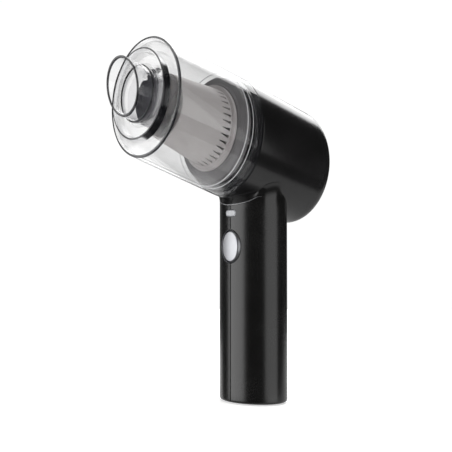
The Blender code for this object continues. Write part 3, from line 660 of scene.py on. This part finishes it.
handle = {
    "halfWide": 0.0210, "halfDeep": 0.0162, "wall": 0.0020, "gap": 0.00015,
    "groove": 0.00020, "grooveAngle": math.radians(1.0),        # parting line
    "bottom": 0.0004, "bottomRound": 0.0015, "clearance": 0.0002,
    "columns": 84, "rowsBottom": 5, "rowsUp": 26, "rowsFillet": 10,
    "flareFront": 0.012, "flareSide": 0.18,         # spread of the top under the barrel
    "filletFront": 0.0006, "filletSide": 0.0100,    # height of that spread
    "neck": 0.0034, "neckInset": 0.0011, "shoulder": 0.00045,   # front only
    "button": (0.00745, 0.00925), "buttonHeight": 0.0840,
    "lens": (0.00425, 0.00195, 0.0017), "lensHeight": 0.1020,
    "socket": (0.0048, 0.0019, 0.0018), "socketHeight": 0.0116,
    "frontCut": (-0.021, -0.010), "rearCut": (0.010, 0.021),
}


def underBarrel(x, y):                 # height of the barrel's underside above (x, y)
    radius = barrel["radius"] + handle["clearance"]
    up = -math.sqrt(max(radius ** 2 - x * x, 1e-9))
    along = (up * math.sin(barrel["tilt"]) - y) / math.cos(barrel["tilt"])
    return barrel["crossHeight"] + up * math.cos(barrel["tilt"]) + along * math.sin(barrel["tilt"])


def handleColumn(angle, side, sink=0.0):            # outer and inner points of one upright strip
    h = handle
    front = max(0.0, -math.sin(angle))              # 1 at the front centre, 0 at the side
    calm = max(smoothStep((front - 0.45) / 0.45), smoothStep((math.sin(angle) + 0.20) / 0.50))
    neck = smoothStep((front - 0.50) / 0.34)
    flare = 1.0 + h["flareFront"] * calm + h["flareSide"] * (1 - calm)
    reach = (h["filletFront"] * calm + h["filletSide"] * (1 - calm)) * (1 - neck) + h["neck"] * neck
    x = max(h["halfWide"] * math.cos(angle), h["gap"]) * side
    y = h["halfDeep"] * math.sin(angle)
    onSeam = abs(x) <= 0.001           # points beside the parting plane keep their x
    distance = Vector((x, y)).length
    top = underBarrel(x, y)
    outer = []
    for k in range(h["rowsBottom"] + 1):
        a = 0.5 * math.pi * k / h["rowsBottom"]
        keep = (distance - h["bottomRound"] * (1 - math.sin(a))) / distance
        height = h["bottom"] + h["bottomRound"] * (1 - math.cos(a))
        outer.append(Vector((x if onSeam else x * keep, y * keep, height)))
    start = outer[-1].z
    for k in range(1, h["rowsUp"] + 1):
        outer.append(Vector((x, y, start + (top - reach - start) * k / h["rowsUp"])))
    tipX = x if onSeam else x * flare
    tip = Vector((tipX, y * flare, underBarrel(tipX, y * flare)))
    low = Vector((x, y, top - reach))
    bend = Vector((x, y, top))
    for k in range(1, h["rowsFillet"] + 1):
        s = k / h["rowsFillet"]
        smooth = low * (1 - s) ** 2 + bend * (2 * s * (1 - s)) + tip * s * s
        a = min(1.0, s / 0.5) * 0.5 * math.pi       # a rounded shoulder first, then a neck leaning in
        late = max(0.0, (s - 0.5) / 0.5)
        inset = h["shoulder"] * (1 - math.cos(a)) + h["neckInset"] * late
        rise = h["shoulder"] * math.sin(a) + (h["neck"] - h["shoulder"]) * late
        keep = 1 - inset / distance
        shoulder = Vector((x if onSeam else x * keep, y * keep, top - h["neck"] + rise))
        outer.append(smooth * (1 - neck) + shoulder * neck)
    for point in outer:                # the parting line is a fine groove
        point.y -= math.copysign(sink, y)
    insideX = max((h["halfWide"] - h["wall"]) * math.cos(angle), h["gap"]) * side
    insideY = (h["halfDeep"] - h["wall"]) * math.sin(angle)
    insideTop = underBarrel(insideX, insideY)
    inner = []
    for k in range(len(outer)):
        s = 1 - k / (len(outer) - 1)
        inner.append(Vector((insideX, insideY, h["bottom"] + (insideTop - h["bottom"]) * s)))
    return outer + inner


def handleHalf(name, side):
    h = handle
    angles = [math.pi * (i / h["columns"] - 0.5) for i in range(h["columns"] + 1)]
    angles[1:1] = [angles[0] + h["grooveAngle"]]
    angles[-1:-1] = [angles[-1] - h["grooveAngle"]]
    columns = [handleColumn(angle, side, h["groove"] if i in (0, len(angles) - 1) else 0.0)
               for i, angle in enumerate(angles)]
    shell = lofted(name, columns, ["shell"])
    for outline, depths in ((ovalPoints(*h["button"], 72, (0.0, h["buttonHeight"])), h["frontCut"]),
                            (roundedBox(*h["lens"], (0.0, h["lensHeight"])), h["frontCut"]),
                            (roundedBox(*h["socket"], (0.0, h["socketHeight"])), h["rearCut"])):
        carve(shell, lofted("hole", [frontRing(outline, depth) for depth in depths], ["shell"]))
    return shell


bead = {"thick": 0.00026, "reach": 56.0, "steps": 46, "sides": 12, "row": 4}    # reach in degrees


def shoulderBead(name):                # fine satin bead along the shoulder under the barrel
    path = []
    row = handle["rowsBottom"] + handle["rowsUp"] + bead["row"]
    steps, sides = bead["steps"], bead["sides"]
    for i in range(-steps, steps + 1):
        angle = math.radians(-90.0 + bead["reach"] * abs(i) / steps)
        spot = handleColumn(angle, 1.0 if i >= 0 else -1.0)[row]
        path.append(Vector((spot.x if i else 0.0, spot.y, spot.z)))
    rings = []
    for i, spot in enumerate(path):
        ahead = (path[min(i + 1, len(path) - 1)] - path[max(i - 1, 0)]).normalized()
        out = Vector((spot.x, spot.y, 0.0)).normalized()
        rise = ahead.cross(out).normalized()
        thick = bead["thick"] * min(1.0, 0.15 + 3.0 * (1 - abs(i - steps) / steps))     # thins to its ends
        rings.append([spot + out * (thick * math.cos(2 * math.pi * k / sides))
                      + rise * (thick * math.sin(2 * math.pi * k / sides)) for k in range(sides)])
    return lofted(name, rings, ["bead"])


ride(shoulderBead("shoulderBead"), "main_unit", "bright_trim")
ride(handleHalf("leftHandleShell", -1.0), "main_unit", "shell_black", "handle_left_shell")
ride(handleHalf("rightHandleShell", 1.0), "main_unit", "shell_black", "handle_right_shell")
print("handle shells ready")

lens = {
    "half": (0.0041, 0.0018), "round": 0.0016, "roundLeast": 0.0004, "front": -0.0163,
    "profile": [(0.0009, 0.0), (0.0005, 0.00005), (0.0002, 0.00022), (0.0, 0.0005), (0.0, 0.00305)],
}
lensLevels = []
for inset, depth in lens["profile"]:
    outline = roundedBox(lens["half"][0] - inset, lens["half"][1] - inset,
                         max(lens["round"] - inset, lens["roundLeast"]), (0.0, handle["lensHeight"]))
    lensLevels.append(frontRing(outline, lens["front"] + depth))
ride(lofted("indicatorLens", lensLevels, ["lens"]), "main_unit", "lens_milky", "led_lens")


def buttonRing(halfA, halfB, depth):
    return frontRing(ovalPoints(halfA, halfB, 96, (0.0, handle["buttonHeight"])), depth)


bezel = {
    "outer": (0.0073, 0.0091), "inner": (0.0069, 0.0087),
    # share of the way from outer to inner, then depth
    "profile": [(0.0, -0.0142), (0.0, -0.0163), (0.2, -0.0166), (0.5, -0.0167), (0.8, -0.0166),
                (1.0, -0.0163), (1.0, -0.0142)],
}
bezelLevels = []
for share, depth in bezel["profile"]:
    halfA, halfB = [wide + (thin - wide) * share for wide, thin in zip(bezel["outer"], bezel["inner"])]
    bezelLevels.append(buttonRing(halfA, halfB, depth))
bezelLevels.append(bezelLevels[0])
ride(lofted("buttonRim", bezelLevels, ["bright"], capped=False), "main_unit", "bright_trim", "button_bezel")

button = {
    "half": (0.0066, 0.0084), "front": -0.0166, "dome": 0.0005, "domeShare": 0.88, "domeRings": 16,
    # share of the half size, then drop behind the front
    "edge": [(0.92, 0.00004), (0.96, 0.00018), (0.99, 0.00045), (1.0, 0.0008), (1.0, 0.0015)],
    "stem": [(0.0017, 0.0015), (0.0016, 0.0019)],   # radius, then drop
}
buttonLevels = []
halfA, halfB = button["half"]
for k in range(1, button["domeRings"] + 1):         # slightly domed face from the middle outwards
    s = k / button["domeRings"]
    share = button["domeShare"] * s
    depth = button["front"] - button["dome"] * (1 - s * s)
    buttonLevels.append(buttonRing(halfA * share, halfB * share, depth))
for share, drop in button["edge"]:
    buttonLevels.append(buttonRing(halfA * share, halfB * share, button["front"] + drop))
for half, drop in button["stem"]:
    buttonLevels.append(buttonRing(half, half, button["front"] + drop))
ride(lofted("powerButton", buttonLevels, ["bright"]), "button", "bright_trim", "power_button")
print("button, rim and lens ready")


housing = {
    "turns": 192, "steps": 14,
    "profile": [(0.0312, 0.0206, 0.0004), (0.0312, -0.0325, 0.0135), (0.0171, -0.0325, 0.0005),
                (0.0171, -0.0311, 0.0003), (0.0292, -0.0311, 0.0110), (0.0292, 0.0206, 0.0003)],
}
barrelShell = spunObject("barrelShell", housing["profile"], ["barrel"], housing["turns"],
                         steps=housing["steps"])
ride(barrelShell, "main_unit", "shell_black", "barrel_housing")

grille = {
    "slats": 9, "reach": 0.0124, "half": 0.0008, "length": 0.0160, "round": 0.0004,
    "slatRear": -0.0326, "slatFront": -0.0312,
    "ring": [(0.0167, -0.0327, 0.0005), (0.0146, -0.0327, 0.0004), (0.0146, -0.0310, 0.0002),
             (0.0167, -0.0310, 0.0002)],
    "trim": [(0.0, -0.0340, 0.0), (0.0150, -0.0340, 0.0), (0.0150, -0.0300, 0.0), (0.0, -0.0300, 0.0)],
}
leaned = barrelMatrix(barrel["lean"])
ride(spunObject("grilleRing", grille["ring"], ["inner"], 120), "main_unit", "inner_black", "exhaust_grille")
slatShape = barShape("slat", grille["half"], grille["length"], grille["slatRear"], grille["slatFront"],
                     grille["round"])
slats = repeated("grilleSlats", slatShape, "inner", "row", grille["slats"], grille["reach"], leaned)
carve(slats, spunObject("roundBar", grille["trim"], ["inner"], 96, closed=False), "INTERSECT")
ride(slats, "main_unit", "inner_black")

collar = {
    "profile": [(0.0289, 0.0140, 0.0003), (0.0289, 0.0230, 0.0002), (0.0281, 0.0230, 0.0001),
                (0.0281, 0.0246, 0.0001), (0.0289, 0.0246, 0.0002), (0.0289, 0.0260, 0.0004),
                (0.0262, 0.0260, 0.0004), (0.0262, 0.0160, 0.0004), (0.0220, 0.0160, 0.0003),
                (0.0220, 0.0140, 0.0003)],
    "seal": [(0.0284, 0.0233, 0.0001), (0.0290, 0.0233, 0.0004), (0.0290, 0.0243, 0.0004),
             (0.0284, 0.0243, 0.0001)],
}
ride(spunObject("cupCollar", collar["profile"], ["collar"]), "main_unit", "shell_black", "front_collar")

# thin rings inside the cup that carry the painted highlight
ribs = {"inner": 0.0293, "outer": 0.0297, "round": 0.0001,
        "places": {"cupHighlightRib": (0.0300, 0.03035), "cupThinHighlightRib": (0.0264, 0.0266)}}
for name, (rear, front) in ribs["places"].items():
    loop = [(ribs["inner"], rear, ribs["round"]), (ribs["outer"], rear, ribs["round"]),
            (ribs["outer"], front, ribs["round"]), (ribs["inner"], front, ribs["round"])]
    ride(spunObject(name, loop, ["edge"]), "cup", "smoke_clear")
collarSeal = spunObject("collarSeal", collar["seal"], ["rubber"], steps=6)
ride(collarSeal, "main_unit", "rubber_black", "collar_seal")
print("barrel ready")


lean, mouth = barrel["lean"], barrel["mouthLean"]
cup = {
    "front": (0.0300, 0.0757), "step": (0.0228, 0.0801),        # outer corners
    "rim": 0.0011,                     # width of the painted-shade line round each outer corner
    "rearRim": 0.0213,                 # the rear edge carries painted shade up to here
    "stepRadius": (0.0226, 0.0230), "stepAlong": (0.0762, 0.0799),      # where the step's side wall lies
    "profile": [(0.0312, 0.0209, 0.0003), (0.0300, 0.0746, 0.0), (0.0300, 0.0757, 0.0008),
                (0.0289, 0.0757, 0.0), (0.0228, 0.0757, 0.0004), (0.0228, 0.0794, 0.0),
                (0.0228, 0.0801, 0.0004), (0.0220, 0.0801, 0.0), (0.01415, 0.0801, 0.0002),
                (0.01415, 0.0784, 0.0002), (0.0211, 0.0784, 0.0006), (0.0211, 0.0742, 0.0004),
                (0.0286, 0.0742, 0.0012), (0.0296, 0.0259, 0.0002), (0.0296, 0.0209, 0.0003)],
}


def cupPaint(first, second):           # 0 plain wall, 1 rim with painted shade, 2 step's side wall with painted shade
    radius, along = (first[0] + second[0]) / 2, (first[1] + second[1]) / 2
    if (cup["stepRadius"][0] < radius < cup["stepRadius"][1]
            and cup["stepAlong"][0] < along < cup["stepAlong"][1]):
        return 2
    for corner in (cup["front"], cup["step"]):
        if math.hypot(radius - corner[0], along - corner[1]) < cup["rim"]:
            return 1
    return 1 if along < cup["rearRim"] else 0


cupShell = spunObject("dustCup", cup["profile"], ["clear", "clearRimPaintedShade", "step"], 192, steps=6,
                      paintOf=cupPaint)
ride(cupShell, "cup", "smoke_clear", "dust_cup")

tube = {
    "mouthRim": 0.0886,                # the mouth carries painted shade from here on
    "rootRadius": (0.0137, 0.0139), "rootEnd": 0.0798,          # the outer wall inside the cup
    "profile": [(0.0138, 0.0897, 0.0004, mouth), (0.0128, 0.0897, 0.0004, mouth),
                (0.0128, 0.0888, 0.0, mouth), (0.0126, 0.0720, 0.0003, lean), (0.0138, 0.0720, 0.0003, lean),
                (0.0138, 0.0764, 0.0002, lean), (0.0156, 0.0764, 0.0003, lean),
                (0.0156, 0.0781, 0.0003, lean), (0.0138, 0.0781, 0.0002, lean),
                (0.0138, 0.0797, 0.0, lean), (0.0138, 0.0888, 0.0, mouth)],
    "seal": [(0.0138, 0.0797, 0.0002), (0.0138, 0.0807, 0.0002), (0.0143, 0.0805, 0.0002),
             (0.0144, 0.0797, 0.0001)],
    "lugDepth": (0.0046, 0.0060), "lugRound": 0.0002,           # lugs that hold the flap's pin
    "lug": [(0.0722, 0.0114), (0.0757, 0.0114), (0.0757, 0.0160), (0.0722, 0.0160)],
}


def tubePaint(first, second):          # 0 plain wall, 1 mouth with painted shade, 2 root inside the cup with painted shade
    radius, along = (first[0] + second[0]) / 2, (first[1] + second[1]) / 2
    if along > tube["mouthRim"]:
        return 1
    return 2 if along < tube["rootEnd"] and tube["rootRadius"][0] < radius < tube["rootRadius"][1] else 0


inletTube = spunObject("inletTube", tube["profile"], ["tube", "clearRimPaintedShade", "tubeRootPaintedShade"], 144, steps=5,
                       paintOf=tubePaint)
# the seal ring takes the painted-shade rim paint
ride(spunObject("tubeSeal", tube["seal"], ["clearRimPaintedShade"], 144), "cup", "smoke_clear")
for letter, side in (("L", -1.0), ("R", 1.0)):
    lug = sidePlate("flapLug" + letter, [side * depth for depth in tube["lugDepth"]], tube["lug"], "tube")
    ride(rounded(lug, tube["lugRound"]), "cup", "smoke_clear")
ride(inletTube, "cup", "smoke_clear", "inlet_tube")

flap = {
    "profile": [(0.0, 0.0716, 0.0), (0.0070, 0.0716, 0.0004), (0.0078, 0.0713, 0.0004),
                (0.0122, 0.0713, 0.0003), (0.0126, 0.0716, 0.0002), (0.0134, 0.0716, 0.0003),
                (0.0134, 0.0706, 0.0003), (0.0, 0.0706, 0.0)],
    "trimDepth": (0.0041, 0.0140),     # the disc is cut away beside the strap
    "trim": [(0.0690, 0.0107), (0.0790, 0.0107), (0.0790, 0.0160), (0.0690, 0.0160)],
    "pinUp": 0.0147, "pinAlong": 0.0704, "knuckleRadius": 0.0013,
    "knuckle": [(-0.0041, 0.0002), (-0.0039, 0.0), (0.0039, 0.0), (0.0041, 0.0002)],    # across, inset
    "strapHalf": 0.0040, "strapRound": 0.0002,
    "strap": [(0.0706, 0.0090), (0.0716, 0.0090), (0.0714, 0.0147), (0.0700, 0.0147)],
}
flapDisc = spunObject("flapDisc", flap["profile"], ["flap"], 96, closed=False)
for side in (-1.0, 1.0):
    carve(flapDisc, sidePlate("trim", [side * depth for depth in flap["trimDepth"]], flap["trim"], "flap"))
ride(flapDisc, "flap", "rubber_black", "inlet_flap")
pinFront = flap["pinAlong"] + lean * flap["pinUp"]
knuckle = []
for across, inset in flap["knuckle"]:
    radius = flap["knuckleRadius"] - inset
    knuckle.append([barrelPoint(across, flap["pinUp"] + radius * math.cos(2 * math.pi * i / 32),
                                pinFront + radius * math.sin(2 * math.pi * i / 32)) for i in range(32)])
ride(lofted("flapKnuckle", knuckle, ["flap"]), "flap", "rubber_black")
strap = sidePlate("flapStrap", (-flap["strapHalf"], flap["strapHalf"]), flap["strap"], "flap", lean)
ride(rounded(strap, flap["strapRound"]), "flap", "rubber_black")
print("cup, tube and flap ready")


filterFrame = {
    "profile": [(0.0276, 0.0264, 0.0004), (0.0276, 0.0296, 0.0008), (0.0240, 0.0304, 0.0006),
                (0.0228, 0.0312, 0.0005), (0.0210, 0.0312, 0.0002), (0.0210, 0.0264, 0.0002)],
}
ride(spunObject("filterFrame", filterFrame["profile"], ["frame"]), "filter", "pale_plastic", "filter_frame")

cone = {
    "slots": 36, "slotFoot": 0.0341, "slotEnd": 0.0388, "slotDepth": (0.0165, 0.0216),
    "halfFoot": 0.00075, "halfEnd": 0.00014,        # half width of a slot at its foot and its end
    "profile": [(0.0224, 0.0315, 0.0002), (0.0223, 0.0330, 0.0004), (0.0203, 0.0333, 0.0004),
                (0.0203, 0.0338, 0.0002), (0.0166, 0.0632, 0.0005), (0.0155, 0.0632, 0.0004),
                (0.0168, 0.0487, 0.0008), (0.0, 0.0487, 0.0), (0.0, 0.0475, 0.0), (0.0172, 0.0475, 0.0006),
                (0.0191, 0.0334, 0.0003), (0.0196, 0.0322, 0.0003), (0.0212, 0.0319, 0.0002),
                (0.0212, 0.0315, 0.0001)],
}
prefilter = spunObject("prefilterCone", cone["profile"], ["pale"], 144, steps=5)
wedge = [(-cone["halfFoot"], cone["slotFoot"]), (cone["halfFoot"], cone["slotFoot"]),
         (cone["halfEnd"], cone["slotEnd"]), (-cone["halfEnd"], cone["slotEnd"])]
slotTool = lofted("slotTool", [[(reach, across, along) for across, along in wedge]
                               for reach in cone["slotDepth"]], ["pale"])
slots = repeated("coneSlots", slotTool, "pale", "ring", cone["slots"], 1e-7, leaned)
carve(prefilter, slots)
ride(prefilter, "filter", "pale_plastic", "prefilter_cone")

pleat = {
    "folds": 44, "outer": 0.0203, "inner": 0.0172, "wall": 0.0005, "rear": 0.0108, "front": 0.0306,
    "crest": 0.12,                     # half width of the outer fold as a share of one fold
    "leanFrom": 0.02,                  # ahead of this the folds lean with the frame
}


def pleatFold():                       # one fold of paper: out and back again
    half = math.pi / pleat["folds"]
    crest = pleat["crest"] * half
    corners = ((-half, pleat["inner"]), (-crest, pleat["outer"]),
               (crest, pleat["outer"]), (half, pleat["inner"]))
    line = [(radius * math.cos(angle), radius * math.sin(angle)) for angle, radius in corners]
    bm = bmesh.new()
    rings = []
    for inset, along in ((0.0, pleat["rear"]), (0.0, pleat["front"]),
                         (pleat["wall"], pleat["front"]), (pleat["wall"], pleat["rear"])):
        ring = []
        for x, y in line:
            length = math.hypot(x, y)
            keep = (length - inset) / length
            ring.append(bm.verts.new((x * keep, y * keep, along)))
        rings.append(ring)
    for first, second in zip(rings, rings[1:] + rings[:1]):
        for i in range(len(line) - 1):
            bm.faces.new((first[i], first[i + 1], second[i + 1], second[i]))
    return meshObject("pleatFold", bm, ["paper"])


square = barrelMatrix()
pleats = repeated("filterPleats", pleatFold(), "paper", "ring", pleat["folds"], 1e-7, square)
for vert in pleats.data.vertices:
    local = square.inverted() @ vert.co
    if local.z > pleat["leanFrom"]:
        vert.co = barrelPoint(local.x, local.y, local.z, lean)
ride(pleats, "filter", "filter_paper", "filter_pleats")
print("filter ready")


finishes = {
    "inner": ["handle_base_cap", "battery_cradle", "tact_switch", "fan_shroud", "motor_plate",
              "motor_end_bell", "impeller"],
    "rubber": ["base_pad"],
    "steel": ["base_screw_left", "base_screw_right", "usb_socket", "motor_can", "motor_screw_left",
              "motor_screw_right", "motor_shaft", "flap_pin"],
    "cell": ["battery_cell_left", "battery_cell_right"],
    "nickel": ["cell_link_plate"],
    "board": ["control_board", "charge_board"],
    "lens": ["led_emitter"],
    "foam": ["exhaust_filter"],
    "pale": ["filter_end_cap"],
}
for key, names in finishes.items():
    for name in names:
        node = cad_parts[name]
        for slot in node.material_slots:
            slot.material = paints[key]
print("finishes given")
